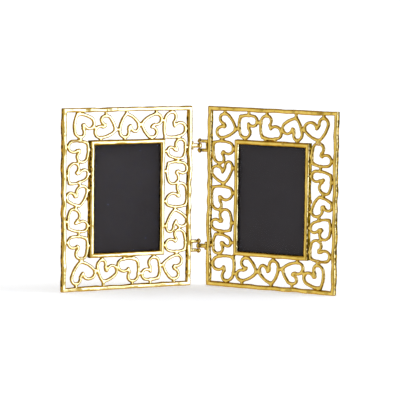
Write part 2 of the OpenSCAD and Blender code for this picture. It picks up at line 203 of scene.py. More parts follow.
# %% Two patterns in space
def lattice_value(cell, seed):
    """A fixed random number from 0 to 1 for each whole-numbered cell, mixed from its numbers."""
    x, y, z = np.moveaxis(cell.astype(np.int64), -1, 0)
    mixed = (x * 73856093) ^ (y * 19349663) ^ (z * 83492791) ^ (seed * 2654435761)
    mixed = ((mixed ^ (mixed >> 13)) * 1274126177) & 0xFFFFFFFF
    return ((mixed ^ (mixed >> 16)) & 0xFFFF) / 0xFFFF


def cell_corners(spread):
    """The whole-numbered steps to the cells round a cell."""
    steps = np.arange(*spread)
    return np.stack(np.meshgrid(steps, steps, steps, indexing="ij"), axis=-1).reshape(-1, 3)


def wander(points, size, seed):
    """Smooth noise from -1 to 1: lattice values, blended by 3t^2 - 2t^3 along each axis."""
    cell = np.floor(points / size)
    t = points / size - cell
    smooth = t * t * (3 - 2 * t)
    total = np.zeros(points.shape[:-1])
    for step in cell_corners((0, 2)):
        weight = np.where(step == 1, smooth, 1 - smooth).prod(axis=-1)
        total += weight * lattice_value(cell + step, seed)
    return 2 * total - 1


def dents(points, size, seed):
    """Depth of hammer dents, 1 in a dent's middle and 0 on the ridges: 1 - distance^2."""
    cell = np.floor(points / size)
    nearest = np.full(points.shape[:-1], 9.0)
    for step in cell_corners((-1, 2)):
        there = cell + step
        middle = there + np.stack([lattice_value(there, seed + k) for k in range(3)], axis=-1)
        nearest = np.minimum(nearest, ((points / size - middle) ** 2).sum(axis=-1))
    return 1 - np.clip(nearest, 0, 1)


# %% Directions of a surface
def grid_normals(grid):
    """Outward direction at each point of a grid that closes both ways: cross product of its runs."""
    along = np.roll(grid, -1, axis=0) - np.roll(grid, 1, axis=0)
    around = np.roll(grid, -1, axis=1) - np.roll(grid, 1, axis=1)
    normal = np.cross(along, around)
    length = np.linalg.norm(normal, axis=-1, keepdims=True)
    return normal / np.maximum(length, 1e-9)


def corner_normals(points, faces):
    """Outward direction at each corner: the sum of its faces' cross products, brought to length 1."""
    a, b, c, d = (points[faces[:, k]] for k in range(4))
    facing = np.cross(c - a, d - b)
    total = np.stack([np.bincount(faces.ravel(), np.repeat(facing[:, axis], 4), len(points))
                      for axis in range(3)], axis=-1)
    return total / np.maximum(np.linalg.norm(total, axis=1, keepdims=True), 1e-12)


square = np.array([[0, 0, 0], [1, 0, 0], [1, 1, 0], [0, 1, 0.0]])
print("a square that lies flat faces", corner_normals(square, np.array([[0, 1, 2, 3]]))[0])

# %% [markdown]
# ## Rail and bezel
# Both are mouldings: one section carried round a rectangle, mitred at its corners. The section is a
# list of [inwards, backwards] steps with its rounded corners worked out as arcs, and it is spread
# evenly, so the hammer finds enough points on the flats too. Extruding bars and joining them would
# give the same rectangle, but with seams at the corners.

# %% A section and a moulding
moulding_spacing, section_step = 0.45, 0.35


def arc(centre, radius, start, end, steps=6):
    """Points of an arc: centre + radius (cos a, sin a), with a in degrees from start to end."""
    a = np.radians(np.linspace(start, end, steps))
    return np.stack([centre[0] + radius * np.cos(a), centre[1] + radius * np.sin(a)], axis=-1)


def spread_evenly(corners, spacing):
    """A closed outline with points added along its longer runs, none further than spacing."""
    ends = np.roll(corners, -1, axis=0)
    counts = np.maximum(1, np.ceil(np.linalg.norm(ends - corners, axis=1) / spacing)).astype(int)
    start = np.repeat(np.arange(len(corners)), counts)
    step = np.concatenate([np.arange(n) / n for n in counts])[:, None]
    return corners[start] * (1 - step) + ends[start] * step


def moulding(low, high, section, spacing):
    """The section carried round the rectangle from low to high: each corner lies its own step
    inwards from the rectangle's corner, and the sides run straight from corner to corner."""
    inwards, backwards = section[:, 0], section[:, 1]
    x = np.stack([low[0] + inwards, high[0] - inwards, high[0] - inwards, low[0] + inwards])
    z = np.stack([low[2] + inwards, low[2] + inwards, high[2] - inwards, high[2] - inwards])
    y = np.broadcast_to(low[1] + backwards, x.shape)
    corners = np.stack([x, y, z], axis=-1)
    sides = []
    for k in range(4):
        run = corners[(k + 1) % 4] - corners[k]
        share = np.arange(0, 1, spacing / np.linalg.norm(run[0]))[:, None, None]
        sides.append(corners[k] + share * run)
    return np.concatenate(sides)


# %% Hammer a moulding
dent_size, dent_depth = 4.6, 0.24
ridge_share = 0.6
wander_size, wander_reach = 5.5, 0.34
mark_along, mark_across, mark_depth = 6.0, 0.9, 0.035
print("dents of", dent_size, "mm, up to", dent_depth, "mm deep")


def drawn(grid):
    """Lengthwise marks from -1 to 1, on a grid whose rows are sections: a noise that is stretched
    along the rows' numbers and runs round the section on a circle, so that it closes."""
    rows, columns = grid.shape[:2]
    radius = columns * section_step / (2 * math.pi) / mark_across
    a = np.linspace(0, 2 * np.pi, columns, endpoint=False)
    along = np.arange(rows)[:, None] * moulding_spacing / mark_along
    place = np.broadcast_arrays(radius * np.cos(a), radius * np.sin(a), along)
    return wander(np.stack(place, axis=-1), 1.0, 61)


def hammered(grid, depth, reach, swell=0.0, kept=None, marks=1.0):
    """A grid beaten along its own directions: dents go in from the ridges, which stand out by a
    share of their depth, and wander and marks go both ways. Kept says how much of it stays."""
    beat = swell + reach * wander(grid, wander_size, 11)
    beat = beat - depth * (dents(grid, dent_size, 5) - ridge_share) + marks * mark_depth * drawn(grid)
    if kept is not None:
        beat = beat * kept
    direction = grid_normals(grid)
    middle = grid.mean(axis=1, keepdims=True)
    outwards = np.sign(((grid - middle) * direction).sum(axis=-1).mean())
    return grid + outwards * direction * beat[..., None]


# %% Work out the rail
rail_round, rail_swell = 0.85, 0.13
sway_size, sway_reach = 8.0, 0.42
rail_d = rail_high[1] - rail_low[1]
rail_section = spread_evenly(np.concatenate([
    arc((rail_round, rail_round), rail_round, 180, 270),
    arc((rail_w - rail_round, rail_round), rail_round, 270, 360),
    arc((rail_w - rail_round, rail_d - rail_round), rail_round, 0, 90),
    arc((rail_round, rail_d - rail_round), rail_round, 90, 180),
]), section_step)
rail_plain = moulding(rail_low, rail_high, rail_section, moulding_spacing)
rail_line = rail_plain.mean(axis=1, keepdims=True)
sway = np.stack([wander(rail_line, sway_size, 41), 0 * rail_line[..., 1],
                 wander(rail_line, sway_size, 43)], axis=-1)
rail = hammered(rail_plain + sway_reach * sway, dent_depth, wander_reach, rail_swell)
rail[..., 2] = np.clip(rail[..., 2], 0, leaf_h)
print("rail grid", rail.shape, "lowest", rail[..., 2].min().round(3))

# %% [markdown]
# The bezel's section has a rebate at the back, where glass, card and board lie. Only its outside is
# hammered: a mask fades the marks out towards the rebate, so the glass still fits. Its back is
# filed flat, because the turn buttons sweep over it with a tenth of a millimetre to spare.

# %% Work out the bezel
outer_round, inner_round = 1.0, 1.5
lip_cover, insert_gap, rebate_fade = 0.6, 0.3, 0.6
dent_share, wander_share, more_marks = 0.8, 0.6, 1.6
lip_t = glass_low[1] - bezel_low[1]
bezel_d = bezel_high[1] - bezel_low[1]
bezel_wall = glass_low[0] - insert_gap - bezel_low[0]
bezel_face = bezel_wall + insert_gap + lip_cover
bezel_section = spread_evenly(np.concatenate([
    arc((outer_round, outer_round), outer_round, 180, 270, 8),
    arc((bezel_face - inner_round, inner_round), inner_round, 270, 360, 10),
    [[bezel_face, lip_t], [bezel_wall, lip_t], [bezel_wall, bezel_d], [0, bezel_d]],
]), section_step)
bezel_plain = moulding(bezel_low, bezel_high, bezel_section, moulding_spacing)
from_rebate = np.minimum(1, np.hypot(
    np.maximum(0, bezel_wall - bezel_section[:, 0]),
    np.maximum(0, lip_t - bezel_section[:, 1])) / rebate_fade)
bezel = hammered(bezel_plain, dent_share * dent_depth, wander_share * wander_reach,
                 kept=from_rebate, marks=more_marks)
bezel[..., 1] = np.minimum(bezel[..., 1], bezel_high[1])
print("bezel grid", bezel.shape, "wall", round(bezel_wall, 2), "face", round(bezel_face, 2))

# %% [markdown]
# ## Shader maths as sentences
# A material is a net of nodes, and written out socket by socket it is hard to read. The Signal
# class wraps one socket, so that `0.3 + 0.1 * grain` adds the Math nodes by itself. Everything
# else comes from one method, which takes a node's type, its settings and its inputs.

# %% A wrapped socket
class Signal:
    """A number on its way through a net of nodes."""

    def __init__(self, net, socket):
        self.net, self.socket = net, socket

    def _maths(self, operation, *values):
        """One step of maths, as a Math node."""
        return self.net.node("ShaderNodeMath", {"operation": operation}, dict(enumerate(values)))

    def __add__(self, other):
        return self._maths("ADD", self, other)

    def __rsub__(self, other):
        return self._maths("SUBTRACT", other, self)

    def __mul__(self, other):
        return self._maths("MULTIPLY", self, other)

    __radd__, __rmul__ = __add__, __mul__

    def between(self, low, high):
        """0 below low, 1 above high, and smooth between them."""
        return self.net.node(
            "ShaderNodeMapRange", {"interpolation_type": "SMOOTHSTEP"},
            {"Value": self, "From Min": low, "From Max": high})


# %% A net of nodes
class Net:
    """The nodes of a material or of the world, and the shader that they end in."""

    def __init__(self, owner, shader):
        owner.use_nodes = True
        self.owner, self.tree = owner, owner.node_tree
        self.shader = self.tree.nodes[shader]

    def node(self, kind, settings=None, inputs=None, output=0):
        """Adds a node, sets it, joins its inputs, and returns one of its outputs."""
        made_node = self.tree.nodes.new(kind)
        for setting, value in (settings or {}).items():
            if setting == "stops":
                self.set_stops(made_node.color_ramp.elements, value)
            else:
                setattr(made_node, setting, value)
        for socket, value in (inputs or {}).items():
            self.join(value, made_node.inputs[socket])
        return Signal(self, made_node.outputs[output])

    def set_stops(self, elements, stops):
        """Gives a ramp its stops, each a place from 0 to 1 and a colour."""
        while len(elements) < len(stops):
            elements.new(1)
        for element, (place, colour) in zip(elements, stops):
            element.position, element.color = place, (*colour, 1)

    def join(self, value, socket):
        """Links a signal to a socket, or sets the socket to a plain value."""
        if isinstance(value, Signal):
            self.tree.links.new(value.socket, socket)
        else:
            socket.default_value = value

    def drive(self, **signals):
        """Joins signals or plain values to the shader's own sockets."""
        for socket, signal in signals.items():
            self.join(signal, self.shader.inputs[socket.replace("_", " ")])
        return self.owner


# %% A finish
class Finish(Net):
    """A material with one Principled shader. What is the same all over is set when it is made."""

    def __init__(self, name, **constants):
        super().__init__(bpy.data.materials.new(name), "Principled BSDF")
        self.drive(**constants)

    def place(self):
        """The place on the piece, in metres."""
        return self.node("ShaderNodeTexCoord", output="Object")

    def noise(self, size, detail=2.0):
        """Soft noise from 0 to 1 with lumps of about the given size in millimetres."""
        return self.node("ShaderNodeTexNoise", inputs={
            "Vector": self.place(), "Scale": 1 / (size * MM), "Detail": detail})

    def cells(self, size):
        """Distance to the nearest of scattered points, for dents of about the given size."""
        return self.node("ShaderNodeTexVoronoi", {"feature": "SMOOTH_F1"}, {
            "Vector": self.place(), "Scale": 1 / (size * MM), "Smoothness": 0.5})

    def mix(self, share, first, second):
        """A colour between two others."""
        inputs = {0: share, 6: first, 7: second}
        return self.node("ShaderNodeMix", {"data_type": "RGBA"}, inputs, output=2)

    def bump(self, height, depth):
        """A surface direction from a height of 0 to 1, with the depth in millimetres."""
        return self.node("ShaderNodeBump", inputs={"Height": height, "Distance": depth * MM})


print("finish kit ready")

# %% [markdown]
# ## Plated gold
# Plating keeps every mark of the hammer and adds none of its own. Its colour drifts a little from
# place to place, and so does its polish. Small dents in the bump go on where the mesh's own marks
# get too fine, and a value that each mesh carries darkens the colour towards brown in streaks:
# partly tarnish, and partly painted shade on walls, shoulders and corners.

# %% Gold for the casting
gold_light = (0.72, 0.53, 0.135, 1)
gold_deep = (0.60, 0.425, 0.085, 1)
# The brown of tarnish and of painted shade.
gold_brown = (0.040, 0.025, 0.001, 1)
gold_grazing = (0.85, 0.66, 0.32, 1)


def plated_gold(name, dent_mm, bump_mm, roughness, light, deep):
    """Hammered gold plate: dents of one size, brown streaks of tarnish and painted shade, uneven polish.
    """
    gold = Finish(name, Metallic=1.0, Specular_Tint=gold_grazing)
    patches = gold.noise(7, detail=1.0)
    grain = gold.noise(0.5, detail=3.0)
    streaks = gold.noise(2.6, detail=2.5)
    specks = gold.noise(1.5, detail=1.0).between(0.60, 0.68)
    small_dents = gold.cells(dent_mm)
    # Tarnish and painted shade: the mesh's value, broken into streaks and specks, turns the colour brown
    # and rougher.
    tarnish = gold.node("ShaderNodeAttribute", {"attribute_name": "tarnish"}, output="Fac")
    stain_and_shade = (tarnish * (0.2 + streaks.between(0.42, 0.62) + 1.1 * specks)).between(0.20, 0.85)
    colour = gold.mix(patches.between(0.3, 0.7), deep, light)
    colour = gold.mix(0.94 * stain_and_shade, colour, gold_brown)
    return gold.drive(
        Base_Color=colour,
        Roughness=roughness + 0.05 * patches + 0.04 * grain + 0.18 * stain_and_shade,
        Normal=gold.bump(small_dents * small_dents + 0.05 * grain, bump_mm))


casting_gold = plated_gold("hammered_gold", 2.6, 0.06, 0.09, gold_light, gold_deep)
print("gold:", casting_gold.name)

# %% [markdown]
# ## Tarnish and painted shade
# Thin brown lines are painted just over the edges where a surface turns from face to wall, and brown
# goes down the walls, more the deeper they go, which is painted shade. A line of painted shade runs
# along the shoulders that face away from the hinge and dims their highlights, stronger on the right
# leaf. How far a surface has turned away from the front says where that is. So each corner of a mesh
# gets a value from its direction and its depth, and the finish breaks it up into streaks. The bezel
# gets more painted shade: black spots at its outer corners and a dark band down its sides.

# %% Tarnish and painted shade from direction and depth
edge_turn, edge_reach, edge_share = 0.25, 0.3, 0.55
wall_turn, wall_reach, wall_share = 0.4, 0.35, 0.45
deep_from, deep_reach = 0.6, 2.2
away_from, away_reach = 0.45, 0.3
# Painted shade along the shoulders that face away from the hinge, where they would mirror the bright
# cloth; it is stronger on the right leaf.
shoulder_shade_turn, shoulder_shade_reach, shoulder_shade_fade = 0.64, 0.2, 0.08
shoulder_shade_by_side = {"left": 0.5, "right": 1.7}


def near(distance, reach):
    """1 where the distance is 0, falling evenly to 0 where it is the reach."""
    return np.clip(1 - distance / reach, 0, 1)


def risen(height, reach):
    """0 up to a height of 0, rising evenly to 1 where it is the reach."""
    return np.clip(height / reach, 0, 1)


def tarnish_and_shade_of(points, faces, share=1.0, extra=0.0, missed=1.0):
    """For each leaf, a line where the surface turns from face to wall, painted shade that grows the
    deeper a wall goes, and a line of painted shade along the shoulders that face away from the hinge,
    which dims their highlights. That last line is stronger on the right leaf."""
    facing = corner_normals(points, facing_out(points, faces))
    to_front = -facing[:, 1]
    edge = near(np.abs(to_front - edge_turn), edge_reach)
    wall = risen(wall_turn - np.abs(to_front), wall_reach)
    depth = risen(points[:, 1] - points[:, 1].min() - deep_from, deep_reach)
    away = facing[:, 0] / np.maximum(np.hypot(facing[:, 0], facing[:, 2]), 1e-6)
    shoulder_shade = risen(away - away_from, away_reach) * risen(shoulder_shade_reach - np.abs(to_front - shoulder_shade_turn), shoulder_shade_fade)
    common = share * np.maximum(edge_share * edge, wall * (wall_share + (1 - wall_share) * depth)) + extra
    return {side: common + missed * strength * shoulder_shade for side, strength in shoulder_shade_by_side.items()}


print("tarnish: lee", shoulder_shade_by_side)

# %% Put the rail on both leaves
# How much of the painted shade on the shoulders the rail and the bezel get.
rail_share, moulding_shoulder_shade = 1.25, 0.35


def grid_surface(grid):
    """A grid of points as one list of points with its faces."""
    return grid.reshape(-1, 3), grid_faces(*grid.shape[:2])


both_leaves("rail", *grid_surface(rail), each_side("outer_rail"), casting_gold, "plated_gold",
            tarnish_and_shade_of(*grid_surface(rail), share=rail_share, missed=moulding_shoulder_shade))

# %% Put the bezel on both leaves
# Painted shade on the bezel: black spots at its outer corners behind its front, and a dark band down its
# inner and outer sides, wider and darker on the outer side in the casting's lower half.
bezel_corner_shade, spot_reach, spot_behind = 8, 4.0, 0.8
side_band_shade, band_reach, band_behind = 1.9, 1.3, 1.7
low_side_shade, low_reach, low_fade = 1.6, 0.5, 10
side_w = 0.6
bezel_points = bezel.reshape(-1, 3)
to_sides = np.minimum(np.abs(bezel_points - bezel_low), np.abs(bezel_points - bezel_high))
to_corner = np.linalg.norm(to_sides[:, [0, 2]], axis=1)
behind = bezel_points[:, 1] - bezel_low[1]
on_outer = bezel_points[:, 0] > bezel_high[0] - side_w
on_inner = bezel_points[:, 0] < bezel_low[0] + side_w
low_half = on_outer * risen(leaf_h / 2 - bezel_points[:, 2], low_fade)
bezel_shade = bezel_corner_shade * near(to_corner, spot_reach) * (behind > spot_behind)
band = near(np.abs(behind - band_behind), band_reach + low_reach * low_half)
bezel_shade += (side_band_shade + low_side_shade * low_half) * (on_outer | on_inner) * band
both_leaves("window_bezel", *grid_surface(bezel), each_side("bezel"), casting_gold, "plated_gold",
            tarnish_and_shade_of(*grid_surface(bezel), extra=bezel_shade, missed=moulding_shoulder_shade))

# %% [markdown]
# ## Hearts of bent wire
# Each heart is two pieces of wire that meet at the cleft and at the tip. A half runs from the cleft
# round a lobe, which is part of an ellipse, and down a flank, which is a quadratic curve. They are
# bent by hand, so one lobe may be wider or sit higher than the other. A line of the first table gives
# one heart as shares of its cell: tip across and up, crown across and up, width, then how much wider
# and higher its right lobe is, and how deep the cleft goes. A line of the second gives one drop of
# solder: its place across and up, and which hearts of the band it ties to each other or to a side.

# %% The two halves of a heart
lobe_across_share, lobe_up_share = 0.28, 0.70
flank_across_share, flank_up_share = 0.29, 0.15
lobe_start, lobe_end = 185, -20
lobe_steps, flank_steps = 26, 14
cleft_half_w = 0.15


def heart_halves(width, height, wider, higher, cleft):
    """Both middle lines of a heart whose tip is at 0, 0 and whose crown is straight above it. A lobe
    is centre + (rx cos a, ry sin a), a flank (1-s)^2 A + 2s(1-s) B + s^2 C from lobe A to tip C."""
    halves = []
    for side in (1, -1):
        reach = width * (1 + side * wider)
        lobe = [lobe_across_share * width * (1 + side * wider / 2),
                lobe_up_share * height * (1 + side * higher / 2)]
        a = np.radians(np.linspace(lobe_start, lobe_end, lobe_steps))
        x = lobe[0] + (0.5 - lobe_across_share) * reach * np.cos(a)
        z = lobe[1] + (1 - lobe_up_share) * height * np.sin(a)
        curl = np.stack([np.maximum(x, cleft_half_w), z], axis=-1)
        s = np.linspace(0, 1, flank_steps)[1:, None]
        pull = np.array([flank_across_share * reach, flank_up_share * height])
        flank = (1 - s) ** 2 * curl[-1] + 2 * s * (1 - s) * pull
        stem = [[0, (lobe_up_share - cleft) * height]]
        halves.append(np.concatenate([stem, curl, flank]) * [side, 1])
    return halves


print("half a heart has", len(heart_halves(16, 14, 0, 0, 0.1)[0]), "points")

# %% Twenty hearts, as shares of their cells
hearts_shares = {
    "head": [
        [0.97, 0.34, 0.27, 0.54, 0.86, -0.05, 0.06, 0.06],
        [1.18, 0.82, 1.65, 0.34, 0.85, 0.04, 0.28, -0.02],
        [2.08, 0.13, 2.55, 0.67, 0.93, 0.1, -0.14, 0],
        [3.44, 0.85, 3.27, 0.19, 0.77, 0.07, -0.25, 0.08],
        [4.36, 0.11, 4.3, 0.81, 0.89, -0.15, 0.26, 0.03]],
    "foot": [
        [0.93, 0.92, 0.38, 0.29, 0.93, 0.09, -0.15, 0.03],
        [1.92, 0.47, 1.2, 0.56, 0.84, -0.01, -0.24, 0.03],
        [2.54, 0.09, 2.37, 0.81, 0.75, 0.05, 0.21, 0.05],
        [3, 0.66, 3.69, 0.43, 0.81, -0.1, -0.17, 0.04],
        [4.54, 0.07, 4.16, 0.71, 0.8, -0.05, 0.17, 0.1]],
    "inner": [
        [0.21, 0.86, 0.63, 0.25, 0.93, 0.11, 0.04, 0.11],
        [0.82, 1.07, 0.24, 1.65, 1.06, 0.08, -0.01, 0.06],
        [0.08, 2.9, 0.55, 2.18, 1.14, -0.2, 0.2, 0.13],
        [0.52, 3.09, 0.49, 3.93, 0.99, -0.18, 0.32, 0.04],
        [0.09, 4.83, 0.65, 4.21, 1.05, -0.08, 0.03, 0.02]],
    "outer": [
        [0.11, 0.11, 0.67, 0.6, 1.05, 0.02, 0.06, 0.09],
        [0.85, 1.78, 0.32, 1.13, 0.92, -0.04, 0.12, 0.07],
        [0.43, 2.75, 0.63, 2.06, 0.98, 0.13, 0.2, 0.09],
        [0.87, 3.69, 0.28, 3.26, 1.11, -0.08, 0.07, 0.19],
        [0.12, 4.16, 0.67, 4.7, 1.08, 0.01, -0.1, 0.06]],
}
print("hearts in a band:", {band: len(hearts) for band, hearts in hearts_shares.items()})

# %% The drops of solder, as shares of the cells
joints_shares = {
    "head": [
        [1.04, 0.38, 0, 1], [1.93, 0.64, 1, 2], [2.88, 0.39, 2, 3], [3.73, 0.46, 3, 4],
        [0.52, 1, 0], [1.51, 1, 1], [2.26, 1, 2], [3.44, 1, 3], [4.56, 1, 4],
        [0.43, 0, 0], [1.37, 0, 1], [2.20, 0, 2], [2.62, 0, 2], [3.51, 0, 3], [4.36, 0, 4]],
    "foot": [
        [1.03, 0.35, 0, 1], [1.98, 0.48, 1, 2], [2.91, 0.62, 2, 3], [3.85, 0.55, 3, 4],
        [0.67, 0, 0], [1.32, 0, 1], [2.54, 0, 2], [3.39, 0, 3], [4.46, 0, 4],
        [0, 0.66, 0], [0.40, 1, 0], [0.98, 1, 0], [1.51, 1, 1], [2.62, 1, 2], [3.61, 1, 3], [4.42, 1, 4]],
    "inner": [
        [0.41, 0.94, 0, 1], [0.41, 1.93, 1, 2], [0.52, 3.02, 2, 3], [0.35, 3.92, 3, 4],
        [0, 0.39, 0], [0, 1.30, 1], [0, 2.50, 2], [0, 3.57, 3], [0, 4.53, 4],
        [1, 0.54, 0], [1, 1.40, 1], [1, 2.70, 2], [1, 3.77, 3], [1, 4.61, 4],
        [0.37, 0, 0], [0.43, 5, 4]],
    "outer": [
        [0.49, 0.91, 0, 1], [0.42, 1.84, 1, 2], [0.58, 2.80, 2, 3], [0.45, 3.95, 3, 4],
        [1, 0.23, 0], [1, 1.45, 1], [1, 2.37, 2], [1, 3.40, 3], [1, 4.30, 4],
        [0, 0.37, 0], [0, 1.40, 1], [0, 2.10, 2], [0, 3.62, 3], [0, 4.47, 4],
        [0.42, 0, 0], [0.34, 5, 4]],
}
print("drops in a band:", {band: len(drops) for band, drops in joints_shares.items()})

# %% The cells of the four bands
hearts_in_row = 5
row_drawn, column_drawn = 0.92, 1.09
row_cell = np.array([(rail_high[0] - rail_low[0] - 2 * rail_w) / hearts_in_row,
                     rail_high[2] - rail_w - bezel_high[2]])
column_cell = np.array([bezel_low[0] - rail_low[0] - rail_w,
                        (bezel_high[2] - bezel_low[2]) / hearts_in_row])
inner_x, outer_x = rail_low[0] + rail_w, rail_high[0] - rail_w
band_places = {
    "head": ((inner_x, bezel_high[2]), row_cell, row_drawn),
    "foot": ((inner_x, rail_w), row_cell, row_drawn),
    "inner": ((inner_x, bezel_low[2]), column_cell, column_drawn),
    "outer": ((bezel_high[0], bezel_low[2]), column_cell, column_drawn),
}
print("cells", np.round(row_cell, 2), np.round(column_cell, 2))

# %% Lay the hearts out
def placed_halves(heart, corner, cell, drawn_share):
    """A heart's middle lines in its band. Rise and width stretch with the cell, and the width lies
    square to the rise in the cell as it was drawn, whose width is that share of its height."""
    tip, rise = np.array(heart[:2]), np.subtract(heart[2:4], heart[:2])
    drawn_rise = rise * [drawn_share, 1]
    drawn_across = heart[4] / np.linalg.norm(drawn_rise) * drawn_rise[::-1] * [1, -1]
    up, across = rise * cell, drawn_across / [drawn_share, 1] * cell
    size = np.linalg.norm(across), np.linalg.norm(up)
    return [corner + tip * cell + half[:, :1] * across / size[0] + half[:, 1:] * up / size[1]
            for half in heart_halves(*size, *heart[5:])]


def nearest_on(line, place):
    """The point of a line that lies nearest to a place."""
    start, run = line[:-1], np.diff(line, axis=0)
    share = ((place - start) * run).sum(axis=1) / np.maximum((run * run).sum(axis=1), 1e-9)
    feet = start + np.clip(share, 0, 1)[:, None] * run
    return feet[np.linalg.norm(feet - place, axis=1).argmin()]


wires, solder = {}, []
for band, (corner, cell, drawn_share) in band_places.items():
    placed = [placed_halves(heart, corner, cell, drawn_share) for heart in hearts_shares[band]]
    wires[band] = [half for halves in placed for half in halves]
    for across, up, *which in joints_shares[band]:
        place = np.array(corner) + [across * cell[0], up * cell[1]]
        ends = [nearest_on(np.concatenate([placed[k][0], placed[k][1][::-1]]), place) for k in which]
        solder.append(np.array((ends + [place])[:2]))

# %% [markdown]
# ## Solder as a distance
# Loops that only touch would show a crease at every joint, where real solder has run in and left a
# fillet. Meshes don't join that way, but distances do. The distance to a wire's surface is the
# distance to its middle line less half its width, the smaller of two distances joins two wires, and
# a smooth smaller one fills the corner between them. The metal is wherever the result is below 0.

# %% Distance to the metal of the border
wire_w = {"head": 2.34, "foot": 2.46, "inner": 2.24, "outer": 2.3}
joint_w, fillet = 2.2, 1.0
wire_wander = [(0.10, 3.2, 31), (0.06, 1.4, 37)]
heart_reach = 16


def distance_to_line(places, line):
    """Distance from each place to a line of straight pieces."""
    best = np.full(len(places), np.inf)
    for start, end in zip(line[:-1], line[1:]):
        run = end - start
        share = np.clip((places - start) @ run / (run @ run), 0, 1)
        best = np.minimum(best, np.linalg.norm(places - start - share[:, None] * run, axis=1))
    return best


def soldered(first, second, reach):
    """The smaller distance, and up to a quarter of the reach less where the two are alike:
    min - reach h (1 - h), where h = 1/2 + (second - first) / (2 reach), kept from 0 to 1."""
    h = np.clip(0.5 + 0.5 * (second - first) / reach, 0, 1)
    return second + (first - second) * h - reach * h * (1 - h)


def distance_to_metal(places):
    """Distance from places [x, z] to the nearest metal of wires, solder, rail and bezel. A line
    reaches no further than heart_reach from its middle, so the places beyond it are skipped."""
    solid = np.insert(places, 1, 0.0, axis=1)
    uneven = sum(reach * wander(solid, size, seed) for reach, size, seed in wire_wander)
    to_rail = np.minimum(np.minimum(places[:, 0] - inner_x, outer_x - places[:, 0]),
                         np.minimum(places[:, 1] - rail_w, rail_high[2] - rail_w - places[:, 1]))
    outside_bezel = np.maximum(np.maximum(bezel_low[[0, 2]] - places, places - bezel_high[[0, 2]]), 0)
    metal = soldered(to_rail, np.linalg.norm(outside_bezel, axis=1), fillet)
    for lines, width in [(solder, joint_w)] + [(wires[band], wire_w[band]) for band in wires]:
        for line in lines:
            close = np.abs(places - line.mean(axis=0)).max(axis=1) < heart_reach
            to_line = distance_to_line(places[close], line) - width / 2
            metal[close] = soldered(metal[close], to_line + uneven[close], fillet)
    return metal


print("wires, mm:", wire_w)

# %% [markdown]
# ## A skin over the distance
# The border is flat, so its skin can be built on a grid. Cells whose middle is in the metal are
# kept. Corners on the rim of the kept area slide onto the line where the distance is 0, by
# distance times gradient over gradient squared, which turns the steps into a smooth outline. Front
# and back follow a round shoulder within a short way of the rim, and walls join the two.

# %% Which cells are kept, and where the rim goes
mending_rounds = 4
least_steepness, longest_slide = 0.2, 0.8


def mended(kept):
    """The kept cells, and beside them those that fill a corner where only two cells touch: a wall
    can't go round such a corner."""
    for _ in range(mending_rounds):
        a, b, c, d = kept[:-1, :-1], kept[:-1, 1:], kept[1:, :-1], kept[1:, 1:]
        lone = (a & d & ~b & ~c) | (b & c & ~a & ~d)
        for cells in (a, b, c, d):
            cells |= lone
    return kept


def slid_to_rim(x, z, distance, rim, spacing):
    """The grid, with its corners on the rim moved onto the line where the distance is 0."""
    dz, dx = np.gradient(distance, spacing)
    steepness = np.maximum(dx * dx + dz * dz, least_steepness)
    slide = np.where(rim, -distance / steepness, 0)
    slide = np.clip(slide, -longest_slide * spacing, longest_slide * spacing)
    return x + slide * dx, z + slide * dz


chequered = np.array([[True, False], [False, True]])
print("two cells that touch at a corner become", mended(chequered).sum())

# %% Grid to plate
rim_depth = 0.2


def plate_from(distance_of, low, high, spacing, levels, shoulder, wall_rows=4):
    """Points and faces of a plate where a distance is below 0, within a rectangle. The levels are
    the depths of its front and of its back."""
    counts = np.ceil(np.subtract(high, low) / spacing).astype(int) + 1
    x, z = np.meshgrid(*(np.linspace(low[k], high[k], counts[k]) for k in (0, 1)))
    distance = distance_of(np.stack([x.ravel(), z.ravel()], axis=-1)).reshape(x.shape)
    around_cell = distance[:-1, :-1] + distance[1:, :-1] + distance[:-1, 1:] + distance[1:, 1:]
    kept = mended(around_cell < 0)
    around = np.pad(kept, 1)
    touching = [around[:-1, :-1], around[:-1, 1:], around[1:, :-1], around[1:, 1:]]
    used = np.logical_or.reduce(touching)
    rim = used & ~np.logical_and.reduce(touching)

    flat_x, flat_z = slid_to_rim(x, z, distance, rim, spacing)
    inside = np.where(rim, 0, np.maximum(-distance, rim_depth * spacing))
    drop = shoulder - np.sqrt(shoulder ** 2 - np.clip(shoulder - inside, 0, shoulder) ** 2)

    count = used.sum()
    front = np.cumsum(used).reshape(used.shape) - 1
    rim_number = np.cumsum(rim).reshape(rim.shape) - 1
    rings = [front]
    for row in range(1, wall_rows):
        rings.append(2 * count + rim_number + (row - 1) * rim.sum())
    rings.append(front + count)
    flat = np.stack([flat_x[used], flat_z[used]], axis=-1)
    layers = [np.insert(flat, 1, levels[0] + drop[used], axis=1),
              np.insert(flat, 1, levels[1] - drop[used], axis=1)]
    for row in range(1, wall_rows):
        level = levels[0] + shoulder + (levels[1] - levels[0] - 2 * shoulder) * row / wall_rows
        layers.append(np.insert(np.stack([flat_x[rim], flat_z[rim]], axis=-1), 1, level, axis=1))

    r, c = np.nonzero(kept)
    ring = [(r, c), (r, c + 1), (r + 1, c + 1), (r + 1, c)]
    faces = [np.stack([front[k] for k in ring], axis=-1),
             np.stack([front[k] + count for k in ring[::-1]], axis=-1)]
    neighbours = [around[r, c + 1], around[r + 1, c + 2], around[r + 2, c + 1], around[r + 1, c]]
    for k, neighbour in enumerate(neighbours):
        a, b = (tuple(axis[~neighbour] for axis in ring[j % 4]) for j in (k, k + 1))
        for ahead, behind in zip(rings[:-1], rings[1:]):
            faces.append(np.stack([ahead[b], ahead[a], behind[a], behind[b]], axis=-1))
    return np.concatenate(layers), np.concatenate(faces)


print("levels, mm:", round(wire_front, 2), round(wire_back, 2))

